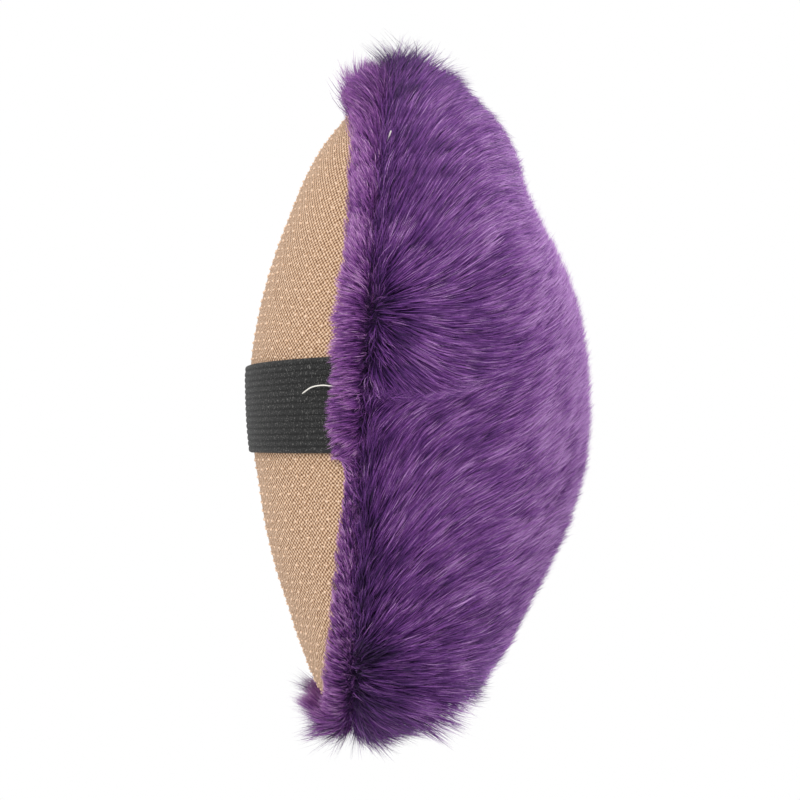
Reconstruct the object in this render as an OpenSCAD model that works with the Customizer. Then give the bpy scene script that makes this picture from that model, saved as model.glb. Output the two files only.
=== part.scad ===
// Hand puppet with a moving mouth: a fur head over a foam core, a lower jaw under a knitted grip panel,
// an elastic strap across the jaw for the thumb, and a cloth hinge between the two halves.
// Millimetres. The origin is on the hinge line, at the middle of its width. +Z runs from the hinge to
// the tip of the mouth, +X from the mouth into the fur head, and the mouth closes on the plane X = 0.

/* [Mouth outline] */
// Length from the hinge to the tip, without fur
mouth_length = 190; // [170:1:210]
// Width at the widest place, without fur
mouth_width = 116; // [108:1:130]
// Squareness of the hinge end, where 2 is an ellipse
hinge_end_squareness = 3; // [2.6:0.1:4]
// Squareness of the tip
tip_squareness = 2.2; // [2:0.1:3]
// Gap between each half and the closing plane
mouth_gap = 0.3; // [0.2:0.1:1]

/* [Head] */
// Height of the foam core above the closing plane
head_height = 56; // [50:1:70]
// Depth of the lying pile with its backing
fur_depth = 9.5; // [6:0.5:12]

/* [Jaw] */
// Depth from the closing plane to the outside of the grip panel
jaw_depth = 37; // [32:1:44]
// Radius of the jaw's outline along its length
jaw_radius = 150; // [145:1:165]
// Thickness of the grip panel's knit
panel_thickness = 1.2; // [0.8:0.1:2]
// Thickness of the fur on the lip strip
lip_depth = 7; // [5:0.5:9]

/* [Strap] */
// Width of the elastic
strap_width = 25.4; // [19:0.2:32]
// Thickness of the elastic
strap_thickness = 1.3; // [1:0.1:1.8]
// Height of the strap's middle above the hinge
strap_z = 90; // [80:1:100]

/* [Mouth plates] */
// Thickness of the felt lining
lining_thickness = 1.5; // [1:0.1:2.5]
// Thickness of the stiff boards
board_thickness = 2.2; // [1.5:0.1:3]
// How far the linings stay inside the outline
lining_inset = 3; // [2.5:0.5:4]
// How far the boards stay inside the outline
board_inset = 5; // [4:0.5:8]

/* [Finger pocket] */
// Inside width of the pocket
pocket_width = 66; // [60:1:70]
// Inside height of the pocket
pocket_height = 18; // [16:1:20]
// How far the pocket reaches above the hinge line
pocket_end_z = 112; // [95:1:125]
// Thickness of the sleeve's cloth
sleeve_thickness = 1.2; // [0.8:0.1:1.5]

/* [Hidden] */

// Points around each ring of a dome, and rings from its rim to its crown
columns = 48;
dome_rings = 9;
crown_scale = 0.1;
half_length = mouth_length / 2;
half_width = mouth_width / 2;
ply_gap = 0.25;

board_x = mouth_gap + lining_thickness;
foam_x = board_x + board_thickness + 0.9;
foam_inset = 3;
backing_inset = 1;
fur_overhang = fur_depth - 1.5;

jaw_foam_scale = 0.96;
jaw_foam_top_scale = 0.9;

// The panel starts under the lip strip, at this share of the outline
panel_edge_scale = 0.945;
lip_middle_scale = 0.9;
lip_inner_scale = 0.86;
lip_inset = 1.5;
lip_edge_depth = 2.2;
notch_headroom = 2.2;
hinge_clearance = 0.5;

pocket_floor_x = foam_x + 1;
pocket_mid_x = pocket_floor_x + sleeve_thickness + pocket_height / 2;
pocket_start_z = 10;
hem_length = 3;
hem_lap = 0.6;

strap_gap = 0.45;
strap_side_gap = 0.6;
strap_half_span = lip_inner_scale * half_width - strap_side_gap;
strap_end_half_span = panel_edge_scale * half_width - strap_side_gap;
strap_steps = 24;
end_steps = 4;
stitch_rows = 2;
stitches_in_row = 6;
stitch_radius = 0.35;
stitch_lift = 0.15;
stitch_share = 0.6;

tape_width = 28;
tape_reach = 16;
tape_thickness = 0.55;
tape_back_z = 2;

function signed_power(v, p) = sign(v) * pow(abs(v), p);

// A point of the mouth outline at angle a from the tip, moved outwards by grow
function outline(a, grow) =
    let (n = cos(a) < 0 ? hinge_end_squareness : tip_squareness)
    [(half_width + grow) * signed_power(sin(a), 2 / n), (half_length + grow) * signed_power(cos(a), 2 / n)];

// One ring of 3-D points at height x, a scaled copy of the outline
function ring(x, scale = 1, grow = 0) = [
    for (i = [0:columns - 1])
        let (p = outline(360 * i / columns, grow))
        [x, scale * p[0], half_length + scale * p[1]]
];

// Depth of the jaw's outer face, at a share of the outline
function jaw_face(scale, inset = 0) =
    jaw_depth - jaw_radius + sqrt(pow(jaw_radius - inset, 2) - pow(half_length * scale, 2));

function rim_to_crown(first = 1) = [
    for (k = [0:dome_rings]) first + (crown_scale - first) * k / dome_rings
];

// Rings of the head, an ellipse on the closing plane, from the height first_x to the crown
function head_rings(height, grow, first_x) =
    let (first = asin((first_x - mouth_gap) / height), last = acos(crown_scale))
    [
        for (k = [0:dome_rings])
            let (turn = first + (last - first) * k / dome_rings)
            ring(mouth_gap + height * sin(turn), cos(turn), grow)
    ];

function jaw_rings(inset, first) = [
    for (s = rim_to_crown(first)) ring(-jaw_face(s, inset), s)
];

function reversed(list) = [for (k = [len(list) - 1:-1:0]) list[k]];

// Faces between ring k and ring m of a stack of rings
function wall(k, m) = [
    for (i = [0:columns - 1])
        let (a = k * columns, c = m * columns, j = (i + 1) % columns)
        each [[a + i, a + j, c + i], [a + j, c + j, c + i]]
];

// The flat face inside ring k, seen from below or from above
function lid(k) = [for (i = [0:columns - 1]) k * columns + i];

// A closed solid; rising is true where the rings are listed towards +X
module skinned(rings, faces, rising) {
    polyhedron(
        points = [for (r = rings) each r],
        faces = rising ? faces : [for (f = faces) reversed(f)]
    );
}

// A solid from its rim to its crown
module dome(rings, rising) {
    last = len(rings) - 1;
    walls = [for (k = [0:last - 1]) each wall(k, k + 1)];
    skinned(rings, concat(walls, [reversed(lid(0)), lid(last)]), rising);
}

// A shell between an outer and an inner dome, open at the rim
module shell(outer, inner, rising) {
    crown = len(outer) - 1;
    last = len(outer) + len(inner) - 1;
    outside = [for (k = [0:crown - 1]) each wall(k, k + 1)];
    inside = [for (k = [crown + 1:last - 1]) each wall(k, k + 1)];
    faces = concat(outside, inside, wall(last, 0), [lid(crown), reversed(lid(crown + 1))]);
    skinned(concat(outer, reversed(inner)), faces, rising);
}

// A closed loop of rings, the last meeting the first
module band(rings, rising) {
    m = len(rings);
    skinned(rings, [for (k = [0:m - 1]) each wall(k, (k + 1) % m)], rising);
}

// A flat plate of the mouth, between two heights
module mouth_plate(x, thickness, inset) {
    translate([x, 0, half_length])
        rotate([90, 0, 90])
            linear_extrude(height = thickness)
                polygon([for (i = [0:columns - 1]) outline(360 * i / columns, -inset)]);
}

// The finger pocket's section, grown by a wall, running up from start_z
module pocket_block(grow, start_z, end_z) {
    r = pocket_height / 2 + grow;
    straight = pocket_width / 2 - pocket_height / 2;
    translate([pocket_mid_x, 0, start_z])
        linear_extrude(height = end_z - start_z)
            union() {
                square([2 * r, 2 * straight], center = true);
                for (side = [-1, 1]) translate([0, side * straight]) circle(r, $fn = 48);
            }
}

// A strip that follows the jaw's face across its width, from one y to another
module cross_strip(y_from, y_to, steps, gap, thickness, width) {
    inner = [
        for (k = [0:steps])
            let (y = y_from + (y_to - y_from) * k / steps)
            [-jaw_face(abs(y) / half_width) - gap, y]
    ];
    outer = [for (p = reversed(inner)) [p[0] - thickness, p[1]]];
    translate([0, 0, strap_z - width / 2])
        linear_extrude(height = width)
            polygon(concat(inner, outer));
}

module fur_head_cover() {
    color("rebeccapurple")
        difference() {
            shell(
                head_rings(head_height + fur_depth, fur_overhang, mouth_gap),
                head_rings(head_height, -backing_inset, mouth_gap),
                rising = true
            );
            pocket_block(sleeve_thickness + ply_gap, -half_length, half_length);
        }
}

module head_foam() {
    color("lemonchiffon")
        difference() {
            dome(head_rings(head_height - 2 * ply_gap, -foam_inset, foam_x), rising = true);
            pocket_block(sleeve_thickness + ply_gap, -half_length, pocket_end_z + ply_gap);
        }
}

module finger_sleeve() {
    color("indigo")
        difference() {
            pocket_block(sleeve_thickness, pocket_start_z, pocket_end_z);
            pocket_block(0, -half_length, pocket_end_z - sleeve_thickness);
        }
}

module sleeve_hem() {
    color("purple")
        difference() {
            pocket_block(sleeve_thickness, pocket_start_z - hem_length, pocket_start_z);
            pocket_block(-hem_lap, -half_length, half_length);
        }
}

module upper_board() {
    color("gray") mouth_plate(board_x, board_thickness, board_inset);
}

module upper_lining() {
    color("maroon") mouth_plate(mouth_gap, lining_thickness, lining_inset);
}

module lower_board() {
    color("gray") mouth_plate(-board_x - board_thickness, board_thickness, board_inset);
}

module lower_lining() {
    color("maroon") mouth_plate(-board_x, lining_thickness, lining_inset);
}

module jaw_foam() {
    base = ring(-foam_x, jaw_foam_scale, -foam_inset);
    face = jaw_rings(panel_thickness + ply_gap, jaw_foam_top_scale);
    color("lemonchiffon") dome(concat([base], face), rising = false);
}

module grip_panel() {
    color("burlywood")
        shell(
            jaw_rings(0, panel_edge_scale),
            jaw_rings(panel_thickness, panel_edge_scale),
            rising = false
        );
}

// The lip strip's section, from the closing plane down the panel's face and back over the pile
module fur_lip_strip() {
    section = [
        ring(-mouth_gap, 1, -lip_inset),
        ring(-jaw_face(panel_edge_scale) - ply_gap, 1, -lip_inset),
        ring(-jaw_face(lip_middle_scale) - ply_gap, lip_middle_scale),
        ring(-jaw_face(lip_inner_scale) - ply_gap, lip_inner_scale),
        ring(-jaw_face(lip_inner_scale) - lip_edge_depth, lip_inner_scale),
        ring(-jaw_face(lip_middle_scale) - 0.6 * lip_depth, lip_middle_scale, 0.4 * lip_depth),
        ring(-jaw_face(panel_edge_scale) - 0.4 * lip_depth, 1, 0.6 * lip_depth),
        ring(-0.5 * lip_depth, 1, lip_depth),
        ring(-mouth_gap, 1, lip_depth)
    ];
    color("rebeccapurple")
        difference() {
            band(section, rising = true);
            translate([-jaw_depth, -half_length, -half_length])
                cube([jaw_depth + 1, mouth_length, half_length + hinge_clearance]);
            translate([-jaw_depth, -tape_width / 2 - ply_gap, -half_length])
                cube([jaw_depth + 1, tape_width + 2 * ply_gap, half_length + tape_back_z + tape_thickness + ply_gap]);
            for (side = [-1, 1])
                cross_strip(
                    side * (strap_half_span - 1), side * (strap_end_half_span + ply_gap),
                    end_steps, 0, strap_thickness + notch_headroom, strap_width + 2 * ply_gap
                );
        }
}

// A U of tape round the hinge ends of the two boards
module hinge_tape() {
    leg_x = board_x + board_thickness + 0.1;
    color("black")
        translate([0, tape_width / 2, 0])
            rotate([90, 0, 0])
                linear_extrude(height = tape_width)
                    difference() {
                        translate([-leg_x - tape_thickness, tape_back_z])
                            square([2 * (leg_x + tape_thickness), tape_reach]);
                        translate([-leg_x, tape_back_z + tape_thickness])
                            square([2 * leg_x, tape_reach]);
                    }
}

module elastic_strap() {
    color("black")
        cross_strip(-strap_half_span, strap_half_span, strap_steps, strap_gap, strap_thickness, strap_width);
}

module strap_end(side) {
    color("black")
        cross_strip(
            side * (strap_half_span + ply_gap), side * strap_end_half_span,
            end_steps, ply_gap, strap_thickness, strap_width
        );
}

module strap_end_left() {
    strap_end(-1);
}

module strap_end_right() {
    strap_end(1);
}

// Rows of stitches that hold the strap's two ends, each stitch a short cylinder
module strap_stitches() {
    pitch = strap_width / stitches_in_row;
    color("dimgray")
        for (side = [-1, 1], row = [1:stitch_rows], k = [0:stitches_in_row - 1]) {
            y = strap_half_span + row * (strap_end_half_span - strap_half_span) / (stitch_rows + 1);
            x = -jaw_face(y / half_width) - ply_gap - strap_thickness - stitch_radius - stitch_lift;
            translate([x, side * y, strap_z - strap_width / 2 + (k + (1 - stitch_share) / 2) * pitch])
                cylinder(h = stitch_share * pitch, r = stitch_radius, $fn = 24);
        }
}

fur_head_cover();
head_foam();
finger_sleeve();
sleeve_hem();
upper_board();
upper_lining();
grip_panel();
fur_lip_strip();
jaw_foam();
lower_board();
lower_lining();
hinge_tape();
elastic_strap();
strap_end_left();
strap_end_right();
strap_stitches();
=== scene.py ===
"""Looks of a moving mouth hand puppet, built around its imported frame.

Every length is in metres. The origin is on the hinge line, +Z runs to the tip of the mouth, +X goes into
the fur head, -X into the jaw, and the mouth closes on the plane X = 0. The two sides mirror in Y.
"""

import math
from types import SimpleNamespace

import bpy
import numpy as np
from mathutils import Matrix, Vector, kdtree


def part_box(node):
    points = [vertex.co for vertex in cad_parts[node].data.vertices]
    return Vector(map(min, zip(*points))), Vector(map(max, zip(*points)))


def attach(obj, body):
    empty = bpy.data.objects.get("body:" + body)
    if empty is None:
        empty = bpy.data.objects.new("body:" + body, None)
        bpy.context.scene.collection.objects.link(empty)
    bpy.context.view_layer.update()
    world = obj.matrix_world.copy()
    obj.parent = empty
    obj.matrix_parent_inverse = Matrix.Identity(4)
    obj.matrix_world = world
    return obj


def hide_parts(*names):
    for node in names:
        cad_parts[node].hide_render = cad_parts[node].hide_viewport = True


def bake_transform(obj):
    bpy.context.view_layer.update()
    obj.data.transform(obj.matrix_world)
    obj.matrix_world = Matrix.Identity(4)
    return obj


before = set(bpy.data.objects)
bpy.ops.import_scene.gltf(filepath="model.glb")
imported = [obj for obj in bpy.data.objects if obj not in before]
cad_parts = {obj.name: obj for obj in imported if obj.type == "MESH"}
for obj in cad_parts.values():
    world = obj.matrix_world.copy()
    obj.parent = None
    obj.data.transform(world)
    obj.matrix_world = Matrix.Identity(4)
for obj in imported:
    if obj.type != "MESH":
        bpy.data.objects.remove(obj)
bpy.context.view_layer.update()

MM = 0.001

# ------------ shapes shared with the CAD model
LINING_INSET = 3 * MM
# The mouth's outline is a superellipse, squarer at its hinge end than at its tip.
HINGE_END_SQUARENESS = 3.0
TIP_SQUARENESS = 2.2
# The jaw's outer face is an arc along its length, in rings that are smaller outlines.
JAW_DEPTH = 37 * MM
JAW_RADIUS = 150 * MM
# Shares of the outline at which the panel's edge and the strap's sewn ends lie.
PANEL_EDGE_SCALE = 0.985
STRAP_END_SCALE = 0.975

lining_low, lining_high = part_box("upper_lining")
HALF_WIDTH = lining_high.y + LINING_INSET
HALF_LENGTH = (lining_high.z - lining_low.z) / 2 + LINING_INSET
MIDDLE_Z = (lining_high.z + lining_low.z) / 2
MOUTH_GAP = lining_low.x
HEAD_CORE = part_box("head_foam")[1].x + 0.5 * MM
BACKING = 1.2 * MM
HEAD_SKIN = HEAD_CORE + BACKING
CROWN_TURN = math.pi / 2 * 0.985
SKIN_COLUMNS = 160
SKIN_STEPS = 44


def unit(v):
    return v / np.maximum(np.linalg.norm(v, axis=-1, keepdims=True), 1e-9)


def signed_power(v, p):
    return np.sign(v) * np.abs(v) ** p


def ramp(value, start, end):
    """From 0 where a length is start millimetres to 1 where it is end millimetres."""
    return np.clip((value - start * MM) / ((end - start) * MM), 0, 1)


def hump(value, middle, width, power=2):
    """A smooth hump of height 1, its middle and width in millimetres."""
    return np.exp(-(((value - middle * MM) / (width * MM)) ** power))


def outline(angle, grow=0.0):
    """(y, z) of the mouth outline at an angle from its tip, moved outwards by grow."""
    n = np.where(np.cos(angle) < 0, HINGE_END_SQUARENESS, TIP_SQUARENESS)
    y = (HALF_WIDTH + grow) * signed_power(np.sin(angle), 2 / n)
    z = (HALF_LENGTH + grow) * signed_power(np.cos(angle), 2 / n)
    return y, z


def even_angles(count):
    """Angles whose points on the outline are the same distance apart."""
    fine = np.linspace(0, 2 * math.pi, 20001)
    y, z = outline(fine)
    run = np.concatenate([[0], np.cumsum(np.hypot(np.diff(y), np.diff(z)))])
    return np.interp(np.arange(count) / count * run[-1], run, fine)


skin_angles = even_angles(SKIN_COLUMNS)


def ring(x, scale, grow=0.0):
    """Points round the outline at depth x; scale may be one number or one for each point."""
    y, z = outline(skin_angles, grow)
    return np.stack([np.full_like(y, x), scale * y, MIDDLE_Z + scale * z], axis=1)


def jaw_face(scale, inset=0.0):
    """Depth of the jaw's outer face below the closing plane, at a share of the outline."""
    return JAW_DEPTH - JAW_RADIUS + np.sqrt((JAW_RADIUS - inset) ** 2 - (HALF_LENGTH * scale) ** 2)


def head_hollow(z):
    """Share of the head's height at z: two shallow hollows, above and below the crown."""
    hollows = 0.125 * hump(z, 154, 20) + 0.045 * hump(z, 36, 18)
    return 1 - hollows + 0.035 * hump(z, 80, 22) + 0.028 * hump(z, 106, 32)


def head_rings(height, grow, first):
    """Rings of the head's ellipse, from the turn first beside its rim to its crown."""
    rings = []
    for turn in np.linspace(first, CROWN_TURN, SKIN_STEPS):
        points = ring(MOUTH_GAP, math.cos(turn), grow)
        points[:, 0] += height * math.sin(turn) * head_hollow(points[:, 2])
        rings.append(points)
    return rings


def across_and_along(rings):
    """The length over a dome's rings across its middle and along it."""
    stack = np.stack(rings)
    steps = np.linalg.norm(np.diff(stack, axis=0), axis=2).sum(axis=0)
    columns = stack.shape[1]
    tip, side = 0, columns // 4
    return 2 * steps[side], steps[tip] + steps[columns // 2]


def cloth_area(mesh):
    """The area of a thin closed shell's middle surface: half of the area of its faces."""
    areas = np.empty(len(mesh.polygons))
    mesh.polygons.foreach_get("area", areas)
    return areas.sum() / 2


def jaw_sag(z):
    """How far the padded jaw sinks behind its round face near the hinge, less its rise near the tip."""
    return 2.6 * MM * ramp(z, 100, 68) * ramp(z, 9, 34) - 1.3 * MM * hump(z, 166, 14)


def sag_share(scale):
    """The share of the sag that shows: none at the rim, all of it a fifth of the way in."""
    return np.clip((1 - scale) / 0.2, 0, 1)


def jaw_ring(scale, lift=0.0, inset=0.0):
    """A ring on the jaw's outer face, lifted off it along -X."""
    points = ring(-jaw_face(scale, inset) - lift, scale)
    points[:, 0] += jaw_sag(points[:, 2]) * sag_share(scale)
    return points


def jaw_rings(scales, inset):
    return [jaw_ring(scale, inset=inset) for scale in scales]


# ------------ meshes
def mesh_from(name, points, quads=None, tris=None, face_slots=None):
    """A smooth mesh from arrays of points, four-sided faces and triangles."""
    quads = np.zeros((0, 4), int) if quads is None else np.asarray(quads, int).reshape(-1, 4)
    tris = np.zeros((0, 3), int) if tris is None else np.asarray(tris, int).reshape(-1, 3)
    mesh = bpy.data.meshes.new(name)
    mesh.vertices.add(len(points))
    mesh.vertices.foreach_set("co", np.asarray(points, np.float32).ravel())
    corners = np.concatenate([quads.ravel(), tris.ravel()]).astype(np.int32)
    mesh.loops.add(len(corners))
    mesh.loops.foreach_set("vertex_index", corners)
    starts = np.concatenate([np.arange(len(quads)) * 4, 4 * len(quads) + np.arange(len(tris)) * 3])
    mesh.polygons.add(len(starts))
    mesh.polygons.foreach_set("loop_start", starts.astype(np.int32))
    if face_slots is not None:
        mesh.polygons.foreach_set("material_index", np.asarray(face_slots, np.int32))
    mesh.update(calc_edges=True)
    mesh.polygons.foreach_set("use_smooth", np.full(len(starts), True))
    return mesh


def piece(name, mesh, materials, body, replaces=()):
    """A shown object that rides on a body; body None leaves it for a blend."""
    obj = bpy.data.objects.new(name, mesh)
    bpy.context.scene.collection.objects.link(obj)
    for material in materials if isinstance(materials, (list, tuple)) else [materials]:
        mesh.materials.append(material)
    if body:
        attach(obj, body)
    if replaces:
        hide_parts(*replaces)
    return obj


def wall_quads(k, m, columns, flip=False):
    """Faces between ring k and ring m."""
    i = np.arange(columns)
    j = (i + 1) % columns
    a, c = k * columns, m * columns
    quads = np.stack([a + i, a + j, c + j, c + i], axis=1)
    return quads[:, ::-1] if flip else quads


def lid_tris(k, columns, centre, flip=False):
    """Faces that close ring k at the point numbered centre."""
    i = np.arange(columns)
    tris = np.stack([k * columns + i, k * columns + (i + 1) % columns, np.full(columns, centre)], axis=1)
    return tris[:, ::-1] if flip else tris


def closed_shell(name, outer, inner):
    """A shell between two stacks of rings, joined at their first rings and closed at their last."""
    columns = len(outer[0])
    rings = outer + inner[::-1]
    points = np.concatenate(rings + [outer[-1].mean(0)[None], inner[-1].mean(0)[None]])
    crown, last = len(outer) - 1, len(rings) - 1
    steps = [(k, k + 1) for k in range(last) if k != crown] + [(last, 0)]
    quads = np.concatenate([wall_quads(a, b, columns) for a, b in steps])
    top = (last + 1) * columns
    tris = np.concatenate([lid_tris(crown, columns, top), lid_tris(crown + 1, columns, top + 1, flip=True)])
    return mesh_from(name, points, quads, tris)


def closed_dome(name, rings, flip=False):
    """A solid from its flat rim to its crown."""
    columns = len(rings[0])
    points = np.concatenate(rings + [rings[0].mean(0)[None], rings[-1].mean(0)[None]])
    last = len(rings) - 1
    quads = np.concatenate([wall_quads(k, k + 1, columns, flip) for k in range(last)])
    base = (last + 1) * columns
    lids = [lid_tris(0, columns, base, not flip), lid_tris(last, columns, base + 1, flip)]
    tris = np.concatenate(lids)
    return mesh_from(name, points, quads, tris)


def closed_strip(name, rings):
    """A bent strip: each ring runs along one face and back along the other."""
    columns, last = len(rings[0]), len(rings) - 1
    walls = [wall_quads(k, k + 1, columns) for k in range(last)]
    half = columns // 2
    k = np.arange(half - 1)
    cap = np.stack([k, columns - 1 - k, columns - 2 - k, k + 1], axis=1)
    quads = np.concatenate(walls + [cap, cap[:, ::-1] + last * columns])
    return mesh_from(name, np.concatenate(rings), quads)


def closed_band(name, rings):
    """A band whose last ring meets its first."""
    columns, count = len(rings[0]), len(rings)
    quads = np.concatenate([wall_quads(k, (k + 1) % count, columns) for k in range(count)])
    return mesh_from(name, np.concatenate(rings), quads)


def cut_with(obj, cutter_mesh):
    """Cuts the solid cutter_mesh out of obj."""
    cutter = bpy.data.objects.new("cutter", cutter_mesh)
    bpy.context.scene.collection.objects.link(cutter)
    cut = obj.modifiers.new("cut", "BOOLEAN")
    cut.operation, cut.object, cut.solver = "DIFFERENCE", cutter, "EXACT"
    bpy.context.view_layer.objects.active = obj
    with bpy.context.temp_override(object=obj, active_object=obj):
        bpy.ops.object.modifier_apply(modifier=cut.name)
    bpy.data.objects.remove(cutter)


def arrays_of(mesh):
    """A mesh's points, its triangles and its point normals."""
    mesh.calc_loop_triangles()
    points = np.empty(len(mesh.vertices) * 3, np.float32)
    mesh.vertices.foreach_get("co", points)
    normals = np.empty(len(mesh.vertices) * 3, np.float32)
    mesh.vertex_normals.foreach_get("vector", normals)
    tris = np.empty(len(mesh.loop_triangles) * 3, np.int32)
    mesh.loop_triangles.foreach_get("vertices", tris)
    return points.reshape(-1, 3).astype(float), tris.reshape(-1, 3), normals.reshape(-1, 3).astype(float)


# ------------ materials
def srgb(r, g, b):
    """A linear colour from the 0 to 255 values that a screen shows."""
    def linear(v):
        v /= 255
        return v / 12.92 if v <= 0.04045 else ((v + 0.055) / 1.055) ** 2.4

    return (linear(r), linear(g), linear(b), 1.0)


class Shader:
    """A material with a Principled shader and short ways to add nodes to it."""

    def __init__(self, name, roughness, sheen=0.0):
        self.material = bpy.data.materials.new(name)
        self.material.use_nodes = True
        self.tree = self.material.node_tree
        self.surface = self.tree.nodes["Principled BSDF"]
        self.surface.inputs["Roughness"].default_value = roughness
        self.surface.inputs["Sheen Weight"].default_value = sheen
        self.surface.inputs["Sheen Roughness"].default_value = 0.5
        self.surface.inputs["Specular IOR Level"].default_value = 0.3

    def node(self, kind, **settings):
        node = self.tree.nodes.new(kind)
        for key, value in settings.items():
            if key in node.inputs:
                node.inputs[key].default_value = value
            else:
                setattr(node, key, value)
        return node

    def link(self, source, target):
        self.tree.links.new(source, target)

    def noise(self, scale, detail, coordinates=None):
        node = self.node("ShaderNodeTexNoise", Scale=scale, Detail=detail)
        self.link(coordinates or self.coordinates(), node.inputs["Vector"])
        return node.outputs["Fac"]

    def coordinates(self):
        return self.node("ShaderNodeTexCoord").outputs["Object"]

    def ramp(self, factor, stops):
        node = self.node("ShaderNodeValToRGB")
        elements = node.color_ramp.elements
        while len(elements) < len(stops):
            elements.new(0.5)
        for element, (place, colour) in zip(elements, stops):
            element.position, element.color = place, colour
        self.link(factor, node.inputs["Fac"])
        return node.outputs["Color"]

    def colour(self, output):
        self.link(output, self.surface.inputs["Base Color"])

    def bump(self, height, strength, distance):
        node = self.node("ShaderNodeBump", Strength=strength, Distance=distance)
        self.link(height, node.inputs["Height"])
        self.link(node.outputs["Normal"], self.surface.inputs["Normal"])

    def maths(self, operation, a, b=None):
        node = self.node("ShaderNodeMath", operation=operation)
        for socket, value in zip(node.inputs, (a, b)):
            if value is None:
                continue
            if isinstance(value, (int, float)):
                socket.default_value = value
            else:
                self.link(value, socket)
        return node.outputs[0]

    def plus(self, a, b):
        return self.maths("ADD", a, b)

    def times(self, a, b):
        return self.maths("MULTIPLY", a, b)

    def axis(self, name, coordinates):
        node = self.node("ShaderNodeSeparateXYZ")
        self.link(coordinates, node.inputs[0])
        return node.outputs[name]

    def swing(self, value, pitch):
        """From -1 to 1 and back over each pitch of a value."""
        return self.maths("SINE", self.times(value, 2 * math.pi / pitch))

    def wave(self, value, pitch):
        """From 0 to 1 and back over each pitch of a value."""
        return self.plus(self.times(self.swing(value, pitch), 0.5), 0.5)


# ------------ camera and lights
def near_camera():
    """A camera close to the puppet's side, rolled so that the tip leans a little to the right."""
    lean = math.radians(3)
    distance, drop = 0.405, 0.0103
    half_view, half_sensor = 0.1208, 18
    middle = Vector((0.0084, 0, 0.0953))
    right = Vector((math.cos(lean), 0, math.sin(lean)))
    up = Vector((-math.sin(lean), 0, math.cos(lean)))
    place = middle - up * drop + Vector((0, -distance, 0))
    back = (place - middle).normalized()
    right = (right - back * right.dot(back)).normalized()
    up = back.cross(right)
    data = bpy.data.cameras.new("camera")
    data.sensor_width = 2 * half_sensor
    data.lens = half_sensor / (half_view / distance)
    data.clip_start, data.clip_end = 0.01, 20
    camera = bpy.data.objects.new("camera", data)
    matrix = camera.matrix_world
    for row in range(3):
        for column, part in enumerate((right, up, back, place)):
            matrix[row][column] = part[row]
    camera.matrix_world = matrix
    bpy.context.scene.collection.objects.link(camera)
    bpy.context.scene.camera = camera


def area_light(name, place, aim, size, power):
    data = bpy.data.lights.new(name, "AREA")
    data.shape, data.size, data.energy = "DISK", size, power
    light = bpy.data.objects.new(name, data)
    light.location = place
    light.rotation_euler = (Vector(aim) - Vector(place)).to_track_quat("-Z", "Y").to_euler()
    bpy.context.scene.collection.objects.link(light)


def studio():
    """An evenly white surround with two weak lamps, as in a light tent."""
    scene = bpy.context.scene
    scene.view_settings.view_transform = "Standard"
    world = bpy.data.worlds.new("studio")
    world.use_nodes = True
    world.node_tree.nodes["Background"].inputs["Color"].default_value = (1, 1, 1, 1)
    world.node_tree.nodes["Background"].inputs["Strength"].default_value = 1.0
    scene.world = world
    aim = (0.01, 0, 0.095)
    area_light("key", (-0.15, -0.75, 0.65), aim, 0.4, 2.5)
    area_light("rim", (0.8, 0.1, 0.3), aim, 0.5, 3.5)


near_camera()
studio()


# ------------ cloth, foam and board materials
def speckled(name, dark, light, grain, roughness, bump, sheen=0.0):
    """Cloth or foam with fine grain in its colour and its surface."""
    shader = Shader(name, roughness, sheen)
    fine = shader.noise(grain, 6)
    shader.colour(shader.ramp(fine, [(0.3, dark), (0.7, light)]))
    shader.bump(fine, 0.6, bump)
    return shader.material


backing_cloth = speckled("fur_backing", srgb(38, 16, 52), srgb(62, 30, 82), 900, 0.9, 0.3 * MM, 0.05)
foam_material = speckled("open_cell_foam", srgb(205, 190, 150), srgb(235, 222, 190), 700, 0.95, 0.5 * MM)
board_material = speckled("grey_board", srgb(110, 100, 84), srgb(150, 140, 122), 1400, 0.8, 0.1 * MM)
felt_material = speckled("mouth_felt", srgb(96, 12, 26), srgb(138, 26, 42), 1100, 0.95, 0.35 * MM, 0.08)
sleeve_material = speckled("sleeve_cloth", srgb(34, 18, 46), srgb(58, 34, 74), 1500, 0.9, 0.2 * MM)
thread_material = speckled("dark_thread", srgb(18, 16, 20), srgb(44, 40, 48), 4000, 0.6, 0.05 * MM)


def plain(name, colour, roughness, sheen=0.0):
    shader = Shader(name, roughness, sheen)
    shader.surface.inputs["Base Color"].default_value = colour
    return shader.material


# ------------ head: foam, backing cloth, sleeve
sleeve_low, sleeve_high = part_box("finger_sleeve")
SLEEVE_WALL = 1.2 * MM
RIM_TURN_IN = LINING_INSET - 0.3 * MM


def slot_ring(z, grow, count=24):
    """Points round the finger pocket's section at a height, with round ends."""
    middle_x = (sleeve_low.x + sleeve_high.x) / 2
    radius = (sleeve_high.x - sleeve_low.x) / 2 + grow
    straight = sleeve_high.y - (sleeve_high.x - sleeve_low.x) / 2
    points = []
    for side in (1, -1):
        for k in range(count + 1):
            turn = math.pi * k / count
            x = middle_x + side * radius * math.cos(turn)
            points.append((x, side * (straight + radius * math.sin(turn)), z))
    return np.array(points)


def slot_cutter(grow, end_z):
    """A solid that runs from well below the puppet up the finger pocket."""
    return closed_dome("cutter", [slot_ring(-50 * MM, grow), slot_ring(end_z, grow)])


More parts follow.
